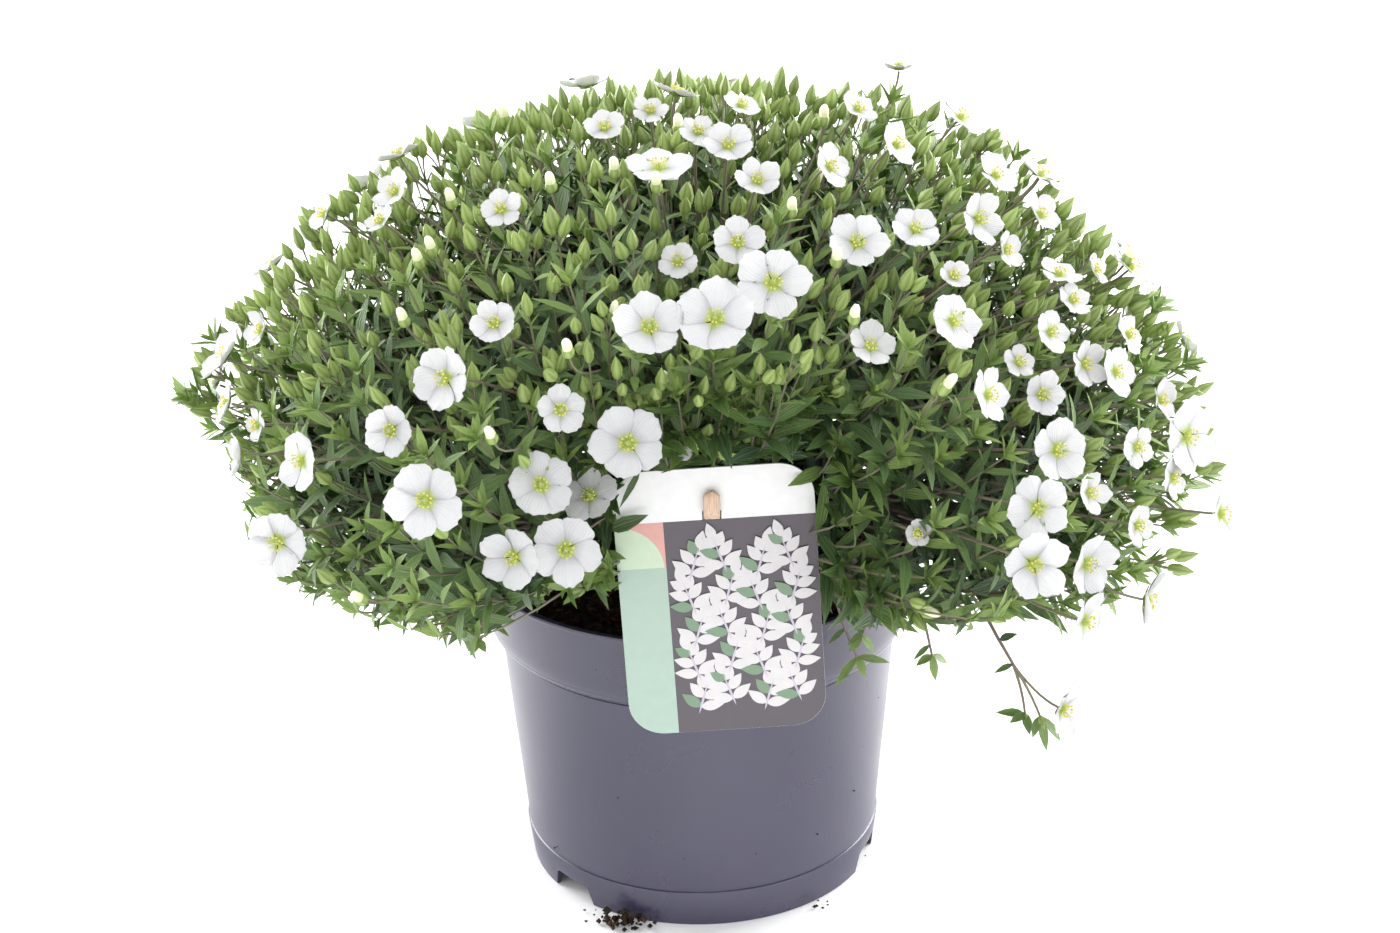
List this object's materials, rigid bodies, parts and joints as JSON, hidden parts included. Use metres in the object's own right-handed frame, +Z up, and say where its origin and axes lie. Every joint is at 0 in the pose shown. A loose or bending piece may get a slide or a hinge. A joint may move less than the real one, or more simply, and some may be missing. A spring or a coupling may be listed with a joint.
{
  "type": "potted mountain sandwort",
  "caption": "Nursery pot full of compost with a wide dome of leafy, budding shoots and white five-petalled flowers, a plain card label on a wooden peg.",
  "frame": {"origin": "middle of the pot's foot, on the surface that the pot stands on", "axes": "+Z up, -Y towards the front with the label, +X to the right as seen from the front"},
  "size_m": [0.4299, 0.3506, 0.343],
  "materials": {
    "pot_plastic": "satin",
    "compost": "rough",
    "label_card": "satin",
    "peg_wood": "raw",
    "foliage": "satin",
    "petals": "soft"
  },
  "bodies": {
    "root": {"pot": "pot_plastic", "compost": "compost", "label": "label_card", "label_peg": "peg_wood", "spray_crown": "foliage", "spray_01": "foliage", "spray_02": "foliage", "spray_03": "foliage", "spray_04": "foliage", "spray_05": "foliage", "spray_06": "foliage", "spray_07": "foliage", "spray_08": "foliage", "trailing_shoot": "foliage", "flower_01": "petals", "flower_02": "petals", "flower_03": "petals", "flower_04": "petals", "flower_05": "petals", "flower_06": "petals", "flower_07": "petals", "flower_08": "petals", "flower_09": "petals", "flower_10": "petals", "flower_11": "petals", "flower_12": "petals", "flower_13": "petals", "flower_14": "petals", "flower_15": "petals", "flower_16": "petals", "flower_17": "petals", "flower_18": "petals", "flower_19": "petals", "flower_20": "petals", "flower_21": "petals", "flower_22": "petals", "flower_23": "petals", "flower_24": "petals", "flower_25": "petals", "flower_26": "petals", "flower_27": "petals", "flower_28": "petals", "flower_29": "petals", "flower_30": "petals", "flower_31": "petals", "flower_32": "petals", "flower_33": "petals", "flower_34": "petals", "flower_35": "petals", "flower_36": "petals", "flower_37": "petals", "flower_38": "petals", "flower_39": "petals", "flower_40": "petals", "flower_41": "petals", "flower_42": "petals", "flower_43": "petals", "flower_44": "petals", "flower_45": "petals", "flower_46": "petals"}
  },
  "joints": []
}
